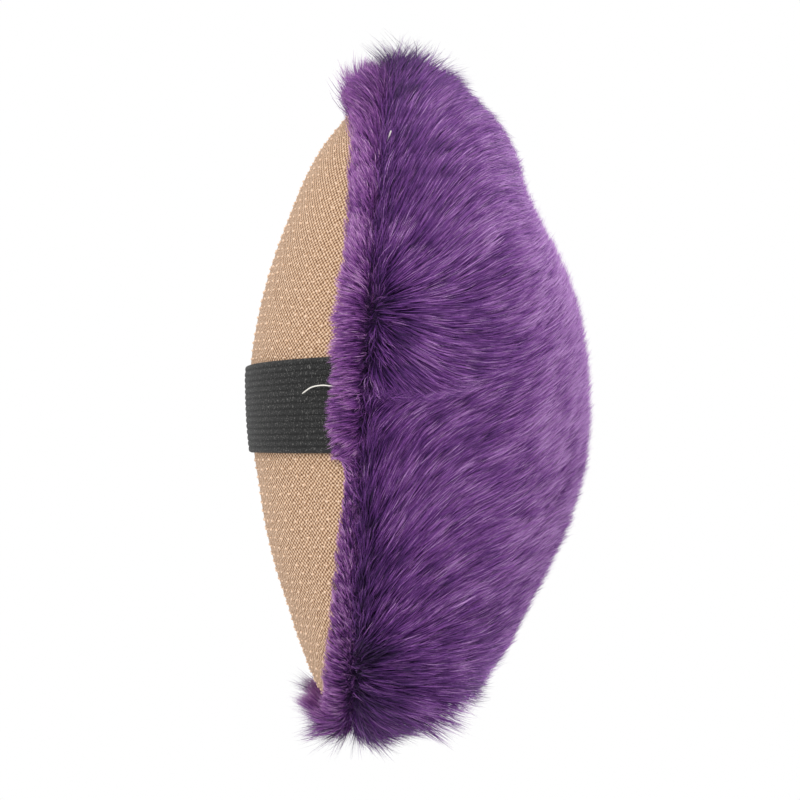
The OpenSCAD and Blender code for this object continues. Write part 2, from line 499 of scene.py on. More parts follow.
def make_head():
    """The head's foam and the backing cloth pulled over it, both cut open at the finger slot."""
    outer = [ring(MOUTH_GAP + 0.2 * MM, 1, -RIM_TURN_IN), ring(MOUTH_GAP, 1, -1.2 * MM)]
    outer += head_rings(HEAD_SKIN - MOUTH_GAP, 0.0, 0.012)
    inner = [ring(MOUTH_GAP + 1.4 * MM, 1, -RIM_TURN_IN)]
    inner += head_rings(HEAD_CORE - MOUTH_GAP, -BACKING, 0.03)
    mesh = closed_shell("head_backing", outer, inner)
    skin = piece("head_backing", mesh, backing_cloth, "head", ("fur_head_cover",))
    cut_with(skin, slot_cutter(0.2 * MM, sleeve_low.z + 30 * MM))

    foam_grow, foam_turn = -BACKING - 0.5 * MM, 0.083
    rings = [ring(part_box("head_foam")[0].x, math.cos(foam_turn), foam_grow)]
    rings += head_rings(HEAD_CORE - MOUTH_GAP - 0.4 * MM, foam_grow, foam_turn)
    mesh = closed_dome("head_foam_core", rings)
    foam = piece("head_foam_core", mesh, foam_material, "head", ("head_foam",))
    cut_with(foam, slot_cutter(0.3 * MM, sleeve_high.z + 0.3 * MM))
    return skin, across_and_along(outer[2:])


def make_sleeve():
    """The finger pocket: a flat sleeve of thin rumpled cloth, closed at its far end."""
    heights = np.linspace(sleeve_low.z - 2 * MM, sleeve_high.z - 1 * MM, 40)
    waves, rumple = 6, 0.12 * MM
    phase = np.random.default_rng(3).uniform(0, 2 * math.pi, waves)

    def rumpled(grow):
        rings = []
        for z in heights:
            points = slot_ring(z, grow)
            x, y, _ = points.T
            wave = sum(np.sin(y * (90 + 60 * k) + z * (140 + 90 * k) + phase[k]) for k in range(waves))
            points[:, 0] -= np.sign(x - x.mean()) * rumple * (1 + wave)
            rings.append(points)
        return rings

    outer, inner = rumpled(-0.05 * MM), rumpled(-SLEEVE_WALL)
    inner[-1][:, 2] -= SLEEVE_WALL
    mesh = closed_shell("finger_pocket", outer, inner)
    return piece("finger_pocket", mesh, sleeve_material, "head", ("finger_sleeve",))


def make_hem():
    """A rolled hem round the pocket's mouth, on the slope of the head."""
    around, columns = 10, 32
    offset, roll = 0.6 * MM, 1.1 * MM
    low_edge, rise = 5.5 * MM, 6.5 * MM
    depth = slot_ring(0, offset, columns)[:, 0] - sleeve_low.x
    share = np.clip(depth / (sleeve_high.x - sleeve_low.x), 0, 1)
    rings = []
    for k in range(around):
        turn = 2 * math.pi * k / around
        points = slot_ring(0, offset + roll * math.cos(turn), columns)
        points[:, 2] = low_edge + rise * share**1.4 + roll * math.sin(turn)
        rings.append(points)
    mesh = closed_band("pocket_hem", rings)
    return piece("pocket_hem", mesh, sleeve_material, "head", ("sleeve_hem",))


head_skin, head_cut = make_head()
finger_pocket = make_sleeve()
pocket_hem = make_hem()
half_girth = sleeve_high.y - sleeve_low.y + (math.pi / 2 - 1) * (sleeve_high.x - sleeve_low.x)
pocket_cut = (half_girth, cloth_area(finger_pocket.data) / half_girth)


# ------------ mouth: linings, boards, hinge tape
def make_lining(name, body, side, node):
    """A soft felt plate with a rolled edge; side is 1 in the head and -1 in the jaw."""
    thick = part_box("upper_lining")[1].x - MOUTH_GAP
    rolled_edge = [(0.0, 1.2), (0.18, 0.5), (0.5, 0.12), (0.82, 0.5), (1.0, 1.2)]
    rings = []
    for share, inset in rolled_edge:
        rings.append(ring(side * (MOUTH_GAP + thick * share), 1, -LINING_INSET - inset * MM))
    obj = piece(name, closed_dome(name, rings, flip=side > 0), felt_material, body, (node,))


make_lining("palate_felt", "head", 1, "upper_lining")
make_lining("jaw_felt", "jaw", -1, "lower_lining")


for board in ("upper_board", "lower_board"):
    board_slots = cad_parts[board].data.materials
    board_slots.clear()
    board_slots.append(board_material)


def make_hinge_tape():
    """A U of twill tape round the hinge ends of the boards; it opens with the mouth."""
    low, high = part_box("hinge_tape")
    half_thick = 0.25 * MM
    radius = high.x - 0.3 * MM
    leg = [(radius, high.z - t * (high.z - low.z - radius)) for t in np.linspace(0, 1, 10)]
    middle = leg[-1][1]
    turns = np.linspace(0, math.pi, 15)[1:-1]
    bend = [(radius * math.cos(turn), middle - (middle - low.z) * math.sin(turn)) for turn in turns]
    centre = np.array(leg + bend + [(-x, z) for x, z in leg[::-1]])
    tangent = np.gradient(centre, axis=0)
    normal = np.stack([-tangent[:, 1], tangent[:, 0]], axis=1)
    normal /= np.linalg.norm(normal, axis=1)[:, None]
    section = np.concatenate([centre + normal * half_thick, (centre - normal * half_thick)[::-1]])
    across = np.linspace(low.y, high.y, 25)
    rings = [np.stack([section[:, 0], np.full(len(section), y), section[:, 1]], axis=1) for y in across]
    mesh = closed_strip("hinge_cloth_tape", rings)
    tape = piece("hinge_cloth_tape", mesh, thread_material, None, ("hinge_tape",))
    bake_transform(tape)


make_hinge_tape()


# ------------ jaw: foam, grip panel, lip strip backing
def make_jaw_foam():
    """The foam under the grip panel, flat where it lies on its board."""
    base = -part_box("jaw_foam")[1].x
    rings = [ring(-base, 0.96, -3 * MM), ring(-base - 1.5 * MM, 0.955, -3 * MM)]
    rings += jaw_rings(np.linspace(0.9, 0.02, 30), 1.6 * MM)
    mesh = closed_dome("jaw_foam_core", rings)
    foam = piece("jaw_foam_core", mesh, foam_material, "jaw", ("jaw_foam",))


make_jaw_foam()
PANEL_THICK = 1.2 * MM
KNIT_PITCH = 0.85 * MM


def knit_material():
    """Fine tan knit in rows of small slanted stitches, over coordinates unrolled from the dome."""
    shader = Shader("grip_knit", 0.85, 0.1)
    cloth = shader.node("ShaderNodeUVMap", uv_map="knit").outputs["UV"]
    wander = shader.node("ShaderNodeTexNoise", Scale=0.45, Detail=3.0)
    shader.link(cloth, wander.inputs["Vector"])
    shift = shader.times(wander.outputs["Fac"], 1.6)
    across = shader.plus(shader.axis("X", cloth), shift)
    along = shader.plus(shader.axis("Y", cloth), shift)
    loops = shader.times(shader.swing(across, 1.75), shader.swing(along, 1.5))
    yarn = shader.plus(shader.times(loops, 0.6), 0.5)
    mottled = shader.noise(1300, 6)
    mix = shader.plus(shader.times(yarn, 0.6), shader.times(mottled, 0.4))
    stops = [(0.2, srgb(96, 58, 30)), (0.5, srgb(188, 148, 112)), (0.82, srgb(244, 212, 184))]
    shader.colour(shader.ramp(mix, stops))
    shader.bump(yarn, 0.8, 0.25 * MM)
    return shader.material


def unroll(rings):
    """Flat cloth coordinates of rings: the distance over the dome from its crown, in each direction."""
    stack = np.stack(rings[::-1])
    steps = np.linalg.norm(np.diff(stack, axis=0), axis=2)
    flat = stack[:, :, 1:] - np.array([0, MIDDLE_Z])
    reach = np.linalg.norm(flat, axis=2)
    run = reach[0] + np.concatenate([np.zeros((1, stack.shape[1])), np.cumsum(steps, axis=0)])
    return (flat * (run / reach)[:, :, None])[::-1]


def make_panel():
    """The knitted panel stretched over the jaw's foam, with its cloth coordinates."""
    scales = np.linspace(PANEL_EDGE_SCALE, 0.015, 60)
    outer, inner = jaw_rings(scales, 0.0), jaw_rings(scales, PANEL_THICK)
    mesh = closed_shell("knit_grip_panel", outer, inner)
    cloth = unroll(outer) / KNIT_PITCH
    cloth = np.concatenate([cloth.reshape(-1, 2), cloth[::-1].reshape(-1, 2), np.zeros((2, 2))])
    corners = np.empty(len(mesh.loops), np.int32)
    mesh.loops.foreach_get("vertex_index", corners)
    layer = mesh.uv_layers.new(name="knit")
    layer.data.foreach_set("uv", cloth[corners].astype(np.float32).ravel())
    panel = piece("knit_grip_panel", mesh, knit_material(), "jaw", ("grip_panel",))
    return panel, across_and_along(outer)


grip_panel, panel_cut = make_panel()


def jaw_scale(y, z):
    """Share of the outline on which the points (y, z) lie."""
    n = np.where(z < MIDDLE_Z, HINGE_END_SQUARENESS, TIP_SQUARENESS)
    return (np.abs(y / HALF_WIDTH) ** n + np.abs((z - MIDDLE_Z) / HALF_LENGTH) ** n) ** (1 / n)


def jaw_surface_x(y, z):
    scale = jaw_scale(y, z)
    return -jaw_face(np.minimum(scale, 1.2)) + jaw_sag(z) * sag_share(scale)


def surface_of_jaw(y, z):
    """Depth and outward normal of the jaw's face over the points (y, z)."""
    step = 0.2 * MM
    dy = (jaw_surface_x(y + step, z) - jaw_surface_x(y - step, z)) / (2 * step)
    dz = (jaw_surface_x(y, z + step) - jaw_surface_x(y, z - step)) / (2 * step)
    normal = np.stack([-np.ones_like(y), dy, dz], axis=1)
    return jaw_surface_x(y, z), normal / np.linalg.norm(normal, axis=1)[:, None], jaw_scale(y, z)


def rolled(u, v):
    """The points (y, z) that lie at (u, v) of the panel's cloth."""
    reach = np.maximum(np.hypot(u, v), 1e-6)
    direction = np.stack([u, v]) / reach
    edge = 1 / jaw_scale(direction[0] * MM, MIDDLE_Z + direction[1] * MM) * MM
    shares = np.linspace(0, 1.0, 60)[:, None]
    y, z = direction[0] * edge * shares, MIDDLE_Z + direction[1] * edge * shares
    x = jaw_surface_x(y, z)
    steps = np.sqrt(sum(np.diff(part, axis=0) ** 2 for part in (x, y, z)))
    run = np.concatenate([np.zeros((1, len(u))), np.cumsum(steps, axis=0)])
    share = np.array([np.interp(reach[k], run[:, k], shares[:, 0], right=1.5) for k in range(len(u))])
    return direction[0] * edge * share, MIDDLE_Z + direction[1] * edge * share


def frames_on(normals):
    """Two unit vectors across each normal."""
    side = np.cross(normals, [0, 0, 1.0])
    side /= np.linalg.norm(side, axis=1)[:, None]
    return side, np.cross(side, normals)


def dot_places(rng):
    """Places and normals of the grip dots: a diamond grid over the cloth, each a little out of line."""
    pitch, uneven = 5.0 * MM, 0.12 * MM
    half_width, half_length = 75 * MM, 110 * MM
    grid = []
    for k, v in enumerate(np.arange(-half_length, half_length, pitch / 2)):
        shift = pitch / 2 if k % 2 else 0
        grid += [(u, v) for u in np.arange(-half_width + shift, half_width, pitch)]
    u, v = np.array(grid).T
    y, z = rolled(u + rng.normal(0, uneven, len(u)), v + rng.normal(0, uneven, len(v)))
    x, normal, scale = surface_of_jaw(y, z)
    keep = scale < PANEL_EDGE_SCALE - 0.02
    return np.stack([x, y, z], axis=1)[keep], normal[keep]


def make_dots():
    """Small raised round grip dots over the panel."""
    radius, tall = 0.38 * MM, 0.42 * MM
    around, levels = 8, [(1.0, -0.1), (0.85, 0.5), (0.45, 0.9)]
    rng = np.random.default_rng(11)
    centre, normal = dot_places(rng)
    side, up = frames_on(normal)
    size = rng.uniform(0.75, 1.2, len(centre))[:, None]
    stack = []
    for share, lift in levels:
        for k in range(around):
            turn = 2 * math.pi * k / around
            flat = radius * share * (math.cos(turn) * side + math.sin(turn) * up)
            stack.append(centre + size * (flat + normal * tall * lift))
    stack.append(centre + size * normal * tall)
    points = np.stack(stack, axis=1)
    per = points.shape[1]
    quads, tris = [], []
    for level in range(len(levels) - 1):
        low, high = level * around, (level + 1) * around
        for k in range(around):
            j = (k + 1) % around
            quads.append([low + j, low + k, high + k, high + j])
    top = (len(levels) - 1) * around
    tris += [[top + (k + 1) % around, top + k, per - 1] for k in range(around)]
    tris += [[0, k, k + 1] for k in range(1, around - 1)]
    first = (np.arange(len(points)) * per)[:, None, None]
    quads = (np.array(quads)[None] + first).reshape(-1, 4)
    tris = (np.array(tris)[None] + first).reshape(-1, 3)
    mesh = mesh_from("grip_dots", points.reshape(-1, 3), quads, tris)
    return piece("grip_dots", mesh, plain("dot_gel", srgb(240, 210, 182), 0.4), "jaw")


grip_dots = make_dots()
cloth_area(grip_panel.data)


def lip_reach():
    """Share of the outline where the lip strip ends; it is narrowest just below the elastic."""
    z = MIDDLE_Z + outline(skin_angles)[1]
    heights = np.array([0, 12, 30, 50, 58, 75, 81, 190]) * MM
    return np.interp(z, heights, [0.952, 0.955, 0.968, 0.980, 0.986, 0.993, 0.952, 0.950])


def make_lip_backing():
    """The cloth under the lip strip's fur, from the closing plane round the rim to the panel."""
    width = 1 - lip_reach()
    outer = [
        ring(-MOUTH_GAP - 0.2 * MM, 1, -RIM_TURN_IN),
        ring(-MOUTH_GAP, 1, -1.2 * MM),
        ring(-MOUTH_GAP - 0.5 * MM, 1, -0.1 * MM),
        ring(-2.2 * MM, 1, 0.2 * MM),
        jaw_ring(1 - 0.35 * width, lift=1.1 * MM),
        jaw_ring(1 - 0.7 * width, lift=1.1 * MM),
        jaw_ring(1 - width, lift=0.8 * MM),
    ]
    inner = [
        jaw_ring(1 - width, lift=0.25 * MM),
        jaw_ring(1 - 0.6 * width, lift=0.25 * MM),
        ring(-2.2 * MM, 1, -1.1 * MM),
        ring(-MOUTH_GAP - 1.4 * MM, 1, -RIM_TURN_IN),
    ]
    mesh = closed_band("lip_backing", outer + inner)
    return piece("lip_backing", mesh, backing_cloth, "jaw", ("fur_lip_strip",))


lip_backing = make_lip_backing()


# ------------ elastic strap
strap_low, strap_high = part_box("elastic_strap")
STRAP_THICK = 1.3 * MM
STRAP_RIBS = 15
STRAP_REACH = STRAP_END_SCALE * HALF_WIDTH - 0.6 * MM
# How much nearer to the tip the strap's ends are than its middle.
STRAP_SKEW = 1.9 * MM


def elastic_material():
    """Black ribbed elastic with fine picks across it and small pale specks of worn yarn."""
    shader = Shader("ribbed_elastic", 0.8, 0.08)
    position = shader.coordinates()
    y = shader.axis("Y", position)
    picks = shader.wave(y, 0.55 * MM)
    rise = shader.times(shader.times(y, y), STRAP_SKEW / STRAP_REACH**2)
    height = shader.maths("SUBTRACT", shader.axis("Z", position), rise)
    height = shader.maths("SUBTRACT", height, strap_low.z)
    along_rib = shader.times(height, math.pi * STRAP_RIBS / (strap_high.z - strap_low.z))
    ribs = shader.maths("ABSOLUTE", shader.maths("SINE", along_rib))
    soft_picks = shader.plus(shader.times(picks, 0.5), 0.5)
    weave = shader.times(shader.times(soft_picks, ribs), 0.42)
    fuzz = shader.times(shader.noise(1500, 8, position), 0.62)
    specks = shader.maths("GREATER_THAN", shader.noise(2200, 2, position), 0.62)
    specks = shader.times(specks, 0.5)
    mix = shader.maths("SUBTRACT", shader.plus(weave, fuzz), 0.21)
    mix = shader.plus(mix, specks)
    stops = [(0.2, srgb(10, 10, 10)), (0.5, srgb(34, 34, 34)), (0.95, srgb(104, 103, 101))]
    shader.colour(shader.ramp(mix, stops))
    shader.bump(mix, 0.8, 0.2 * MM)
    return shader.material


elastic = elastic_material()


def strap_section():
    """Heights and thickness round the strap's section, up its ribbed front and down its back."""
    v = np.linspace(0, 1, STRAP_RIBS * 8 + 1)
    rib_depth, core = 0.25 * MM, STRAP_THICK - 0.4 * MM
    rib = rib_depth * np.abs(np.sin(math.pi * STRAP_RIBS * v)) ** 0.7
    edge = np.clip(np.minimum(v, 1 - v) / 0.012, 0, 1) ** 0.5
    front = (core + rib) * (0.55 + 0.45 * edge)
    z = strap_low.z + (strap_high.z - strap_low.z) * v
    return np.concatenate([z, z[::-1]]), np.concatenate([front, np.zeros_like(front)])


def strap_half(name, side, replaced):
    """One half of the elastic, from the middle of the jaw to its sewn end under the lip fur."""
    clearance, ripple_depth, ripple_length = 0.35 * MM, 0.05 * MM, 1.8 * MM
    section_z, section_lift = strap_section()
    rings = []
    for y in side * np.linspace(0, STRAP_REACH, 80):
        skewed_z = section_z + STRAP_SKEW * (np.abs(y) / STRAP_REACH) ** 2
        _, normal, _ = surface_of_jaw(np.array([y]), np.array([MIDDLE_Z]))
        ripple = ripple_depth * np.sin(y / ripple_length * 2 * math.pi + section_z * 900)
        lift = clearance + section_lift + ripple * (section_lift > 0)
        x = jaw_surface_x(np.full_like(section_z, y), skewed_z) + normal[0, 0] * lift
        rings.append(np.stack([x, y + normal[0, 1] * lift, skewed_z], axis=1))
    mesh = closed_dome(name, rings, flip=side < 0)
    half = piece(name, mesh, elastic, None, ("elastic_strap", replaced))
    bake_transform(half)


strap_half("elastic_strap_near", -1, "strap_end_left")
strap_half("elastic_strap_far", 1, "strap_end_right")


# ------------ threads
def thread(name, points, radius):
    """A tube of thread through points, with blunt ends."""
    rounds = 8
    path = np.asarray(points, float)
    along = unit(np.gradient(path, axis=0))
    side = unit(np.cross(along, [0.3, 0.9, 0.2]))
    other = np.cross(along, side)
    rings = []
    for k, point in enumerate(path):
        turns = 2 * math.pi * np.arange(rounds)[:, None] / rounds
        size = radius * (0.6 if k in (0, len(path) - 1) else 1.0)
        rings.append(point + size * (np.cos(turns) * side[k] + np.sin(turns) * other[k]))
    return closed_dome(name, rings)


def joined(name, meshes):
    """One mesh from several."""
    points, tris, base = [], [], 0
    for mesh in meshes:
        co, tri, _ = arrays_of(mesh)
        points.append(co)
        tris.append(tri + base)
        base += len(co)
        bpy.data.meshes.remove(mesh)
    return mesh_from(name, np.concatenate(points), None, np.concatenate(tris))


def smooth_path(knots):
    """A smooth run of points along a few knots in millimetres."""
    knots = np.asarray(knots, float) * MM
    t = np.linspace(0, len(knots) - 1, 14)
    base = np.stack([np.interp(t, np.arange(len(knots)), knots[:, k]) for k in range(3)], axis=1)
    for _ in range(2):
        base[1:-1] = (base[:-2] + 2 * base[1:-1] + base[2:]) / 4
    return base


def make_stitches():
    """Rows of stitches that hold each end of the elastic, under the fur of the lip strip."""
    count, half_length, bite = 9, 0.9 * MM, 0.3 * MM
    pitch = (strap_high.z - strap_low.z) / count
    meshes = []
    for side in (-1, 1):
        for share in (0.958, 0.968):
            x, y = -jaw_face(share) - 1.45 * MM, side * share * HALF_WIDTH
            for k in range(count):
                z = strap_low.z + pitch * (k + 0.5) + 1.8 * MM
                path = [(x + bite * (abs(t) == 1), y, z + t * half_length) for t in (-1, -0.6, 0, 0.6, 1)]
                meshes.append(thread("stitch", path, 0.22 * MM))
    mesh = joined("strap_end_stitches", meshes)
    piece("strap_end_stitches", mesh, thread_material, "jaw", ("strap_stitches",))


make_stitches()
pale_thread = plain("pale_thread", srgb(238, 234, 226), 0.6)


def loose_end(name, knots, radius, body):
    piece(name, thread(name, smooth_path(knots), radius), pale_thread, body)


OVER_STRAP = [(-17.6, -48.5, 94.4), (-15.2, -51.4, 96.2), (-12.2, -53.8, 96.8), (-8.5, -56.0, 96.5)]
IN_PARTING = [(1.4, -44.0, 163.6), (1.8, -46.5, 164.6), (2.3, -48.6, 165.8)]
loose_end("loose_thread", OVER_STRAP, 0.18 * MM, "jaw")
loose_end("loose_thread_end", IN_PARTING, 0.2 * MM, "head")


# ------------ fur
HEAD_TONES = [
    (40, 13, 58), (61, 23, 85), (83, 36, 110), (107, 52, 133), (133, 75, 156), (163, 109, 181), (192, 148, 207)
]
LIP_TONES = [
    (44, 15, 60), (69, 26, 88), (95, 43, 116), (122, 62, 142), (149, 86, 164), (176, 118, 186), (203, 157, 208)
]


def fur_materials(name, tones):
    """One material for each tone of a pile, from dark to light."""
    return [plain(f"{name}_tone_{k + 1}", srgb(*tone), 0.5, 0.05) for k, tone in enumerate(tones)]


head_tones = fur_materials("head_fur", HEAD_TONES)
lip_tones = fur_materials("lip_fur", LIP_TONES)


def smooth_noise(points, size, seed):
    """A few slow waves of points, from -1 to 1, with no grid."""
    rng = np.random.default_rng(seed)
    total = np.zeros(len(points))
    for _ in range(5):
        direction = unit(rng.normal(size=3)) * rng.uniform(0.6, 1.6) * 2 * math.pi / size
        total += np.sin(points @ direction + rng.uniform(0, 2 * math.pi))
    return total / 5


def scatter(mesh, count, rng, where):
    """Random places on a mesh, even over its area, with their normals, kept where the test says."""
    points, tris, normals = arrays_of(mesh)
    a, b, c = (points[tris[:, k]] for k in range(3))
    cross = np.cross(b - a, c - a)
    area = np.linalg.norm(cross, axis=1) * where((a + b + c) / 3, unit(cross))
    pick = np.searchsorted(np.cumsum(area) / area.sum(), rng.random(count))
    pick = np.minimum(pick, len(tris) - 1)
    u, v = rng.random(count), rng.random(count)
    turn = u + v > 1
    u[turn], v[turn] = 1 - u[turn], 1 - v[turn]
    w = np.stack([1 - u - v, u, v], axis=1)
    place = sum(w[:, k, None] * points[tris[pick, k]] for k in range(3))
    normal = unit(sum(w[:, k, None] * normals[tris[pick, k]] for k in range(3)))
    return place, normal


SEGMENTS = 4
# Width of a hair where each segment starts, and the tones that each segment adds to the hair's own: darker at
# the root, painted shade deep in the pile, and lighter towards the tip.
TAPER = (0.9, 1.0, 0.85, 0.55)
SHADE_STEPS = (-1.9, -0.8, 0.2, 1.0)
LARGE_LOCK, SMALL_LOCK = 110, 8


def centre_lines(root, normal, flow, length, lift_root, lift_tip):
    """Points along each hair: it rises from the cloth and lies down along the flow."""
    flow = unit(flow - normal * np.sum(flow * normal, axis=1, keepdims=True))
    line = [root - normal * 0.4 * MM]
    for k in range(SEGMENTS):
        share = (k + 0.5) / SEGMENTS
        lift = lift_root + (lift_tip - lift_root) * share**0.7
        direction = flow * np.cos(lift)[:, None] + normal * np.sin(lift)[:, None]
        line.append(line[-1] + direction * (length / SEGMENTS)[:, None])
    return np.stack(line, axis=1)


def gathered(lines, roots, centre_roots, centres, pull, spread):
    """Draws each hair's tip towards the middle hair of its lock."""
    tree = kdtree.KDTree(len(centre_roots))
    for k, co in enumerate(centre_roots):
        tree.insert(co, k)
    tree.balance()
    nearest = np.array([tree.find(co)[1] for co in roots])
    goal = centres[nearest] + (roots - centre_roots[nearest])[:, None, :] * spread
    share = (np.arange(SEGMENTS + 1) / SEGMENTS) ** 1.3
    return lines + (goal - lines) * (pull[:, None] * share[None])[:, :, None], nearest


def ribbons(name, lines, normals, width, roll, tone):
    """A mesh of tapered ribbons from centre lines, darker at the root with painted shade deep in the pile;
    tone picks each hair's shade.
    """
    along = unit(np.gradient(lines, axis=1))
    side = unit(np.cross(along, normals[:, None, :]))
    other = np.cross(along, side)
    side = side * np.cos(roll)[:, None, None] + other * np.sin(roll)[:, None, None]
    half = side[:, :-1] * (width[:, None] * np.array(TAPER)[None])[:, :, None] / 2
    left, right = lines[:, :-1] - half, lines[:, :-1] + half
    points = np.concatenate([left, right, lines[:, -1:]], axis=1)
    per = 2 * SEGMENTS + 1
    first = (np.arange(len(lines)) * per)[:, None, None]
    quads = np.array([[k, k + 1, SEGMENTS + k + 1, SEGMENTS + k] for k in range(SEGMENTS - 1)])
    tri = np.array([[SEGMENTS - 1, 2 * SEGMENTS, 2 * SEGMENTS - 1]])
    quads = (quads[None] + first).reshape(-1, 4)
    tris = (tri[None] + first).reshape(-1, 3)
    shade = np.rint(tone[:, None] + np.array(SHADE_STEPS)[None])
    level = np.clip(shade, 0, len(HEAD_TONES) - 1).astype(int)
    slots = np.concatenate([level[:, :-1].ravel(), level[:, -1]])
    return mesh_from(name, points.reshape(-1, 3), quads, tris, slots)


def angle_table(value, places, degrees):
    """Degrees between those given at places in millimetres."""
    return np.interp(value, np.array(places) * MM, degrees)


def head_flow(place):
    """Direction that the head's pile lies in: up and away from the mouth line, with a fan at the strap."""
    x, y, z = place.T
    z = z + 5 * MM * smooth_noise(place, 0.018, 4)
    base = angle_table(x, [0, 6, 14, 22, 32, 45, 66], [74, 66, 50, 34, 22, 15, 20])
    swirl_heights = [76, 82, 90, 94, 101, 108, 117, 124, 134]
    swirl = angle_table(z, swirl_heights, [0, -20, -34, -66, -120, -112, -70, -28, 0])
    base = base + swirl * hump(x, 0, 18)
    low = angle_table(z, [-10, 0, 10, 20, 34], [-80, -78, -72, -52, 0])
    base = base + low * angle_table(x, [0, 12, 26, 48], [0.95, 0.98, 1.0, 0.8])
    angle = np.radians(base + 8 * smooth_noise(place, 0.03, 5) + 6 * smooth_noise(place, 0.008, 6))
    over_crown = 0.9 * ramp(x, 30, 54)
    flow = np.stack([np.cos(angle), np.zeros_like(x), np.sin(angle) + over_crown], axis=1)
    outward = unit(np.stack([x - 4 * MM, 0.5 * y, z - 168 * MM], axis=1))
    top = (ramp(z, 180, 190) * ramp(x, 18, 8))[:, None]
    return unit(flow * (1 - 0.85 * top) + outward * top)


def lip_flow(place):
    """Direction of the lip strip's pile: away from the mouth line over the knitted panel."""
    x, _, z = place.T
    heights = [-6, 3, 9, 16, 30, 55, 68, 75, 80, 88, 117, 124, 134, 166, 178, 192]
    degrees = [174, 172, 166, 146, 124, 106, 100, 120, 208, 188, 180, 152, 124, 124, 150, 120]
    angle = angle_table(z, heights, degrees)
    angle = np.radians(angle + 9 * smooth_noise(place, 0.025, 15) + 8 * smooth_noise(place, 0.008, 16))
    return np.stack([np.cos(angle), np.zeros_like(x), np.sin(angle)], axis=1)


def lock_middles(mesh, count, rng, flow, shape, where):
    """Roots and lines of the hairs that others gather round."""
    root, normal = scatter(mesh, count, rng, where)
    length, lift_root, lift_tip, _ = shape(root, rng)
    return root, centre_lines(root, normal, flow(root), length, lift_root, lift_tip)


def ruffle_by_mouth(hair, rng):
    """Beside the mouth line some hairs reach over it, and some are short and stand up."""
    count, x = len(hair.root), hair.root[:, 0]
    by_mouth = hump(x, 0, 4)
    crossing = by_mouth * (rng.random(count) < 0.4)
    hair.direction[:, 0] -= np.sign(x) * crossing * rng.uniform(0.5, 1.6, count)
    short = rng.random(count) < 0.3 * by_mouth
    length = np.where(crossing > 0.2, np.minimum(hair.length, 9 * MM), hair.length)
    hair.length = length * np.where(short, 0.5, 1)
    # Painted highlight on the hairs that reach over the mouth line, a little lighter; painted shade on the
    # short standing hairs, darker.
    hair.tone = hair.tone + 0.45 * crossing - 0.7 * short
    hair.lift_root = np.where(short, 1.35, hair.lift_root + 0.35 * crossing)
    hair.lift_tip = np.where(short, 1.1, hair.lift_tip + 0.7 * crossing)


def lay_on_rim(hair):
    """On the turned rim the hairs are short and dark and lie outwards, so that the mouth can close; the dark
    is painted shade in the mouth line.
    """
    rim = -hair.normal[:, 0] * np.sign(hair.root[:, 0]) > 0.6
    outward = unit((hair.root - np.array([0, 0, MIDDLE_Z])) * np.array([0, 1, 1]))
    hair.direction = unit(np.where(rim[:, None], outward + 0.2 * hair.direction, hair.direction))
    hair.length = np.where(rim, 3.6 * MM, hair.length)
    hair.tone = hair.tone - 0.8 * rim
    hair.lift_root = np.where(rim, 0.25, hair.lift_root)
    hair.lift_tip = np.where(rim, 0.1, hair.lift_tip)


def grow_fur(name, mesh, body, tones, count, parts, flow, shape, where, seed):
    """Fur over a skin, in several pieces; shape gives each hair's length, lifts and tone from its place."""
    rng = np.random.default_rng(seed)
    large_root, large = lock_middles(mesh, count // LARGE_LOCK, rng, flow, shape, where)
    small_root, small = lock_middles(mesh, count // SMALL_LOCK, rng, flow, shape, where)
    large_tone, small_tone = rng.normal(0, 0.45, len(large)), rng.normal(0, 0.6, len(small))
    root, normal = scatter(mesh, count, rng, where)
    length, lift_root, lift_tip, tone = shape(root, rng)
    hair = SimpleNamespace(
        root=root, normal=normal, direction=flow(root) + rng.normal(0, 0.10, root.shape),
        length=length, lift_root=lift_root, lift_tip=lift_tip, tone=tone,
    )
    ruffle_by_mouth(hair, rng)
    lay_on_rim(hair)
    lines = centre_lines(root, normal, hair.direction, hair.length, hair.lift_root, hair.lift_tip)
    lines, large_near = gathered(lines, root, large_root, large, rng.uniform(0.0, 0.45, count), 0.75)
    lines, small_near = gathered(lines, root, small_root, small, rng.uniform(0.1, 0.8, count), 0.3)
    # Painted highlights on about one hair in eleven, a tone and a half lighter; about one hair in eight is a
    # tone darker.
    glint = 1.5 * (rng.random(count) < 0.09) - 1.0 * (rng.random(count) < 0.12)
    uneven = rng.normal(0, 0.75, count) + glint
    tone = hair.tone + large_tone[large_near] + small_tone[small_near] + uneven
    width = rng.uniform(0.12, 0.24, count) * MM
    roll = rng.normal(0, 0.6, count)
    order = np.argsort(np.arctan2(root[:, 2] - MIDDLE_Z, root[:, 1]))
    pile = []
    for k, part in enumerate(np.array_split(order, parts)):
        part_name = f"{name}_{k + 1}"
        part_mesh = ribbons(part_name, lines[part], normal[part], width[part], roll[part], tone[part])
        pile.append(piece(part_name, part_mesh, tones, body))
    return pile


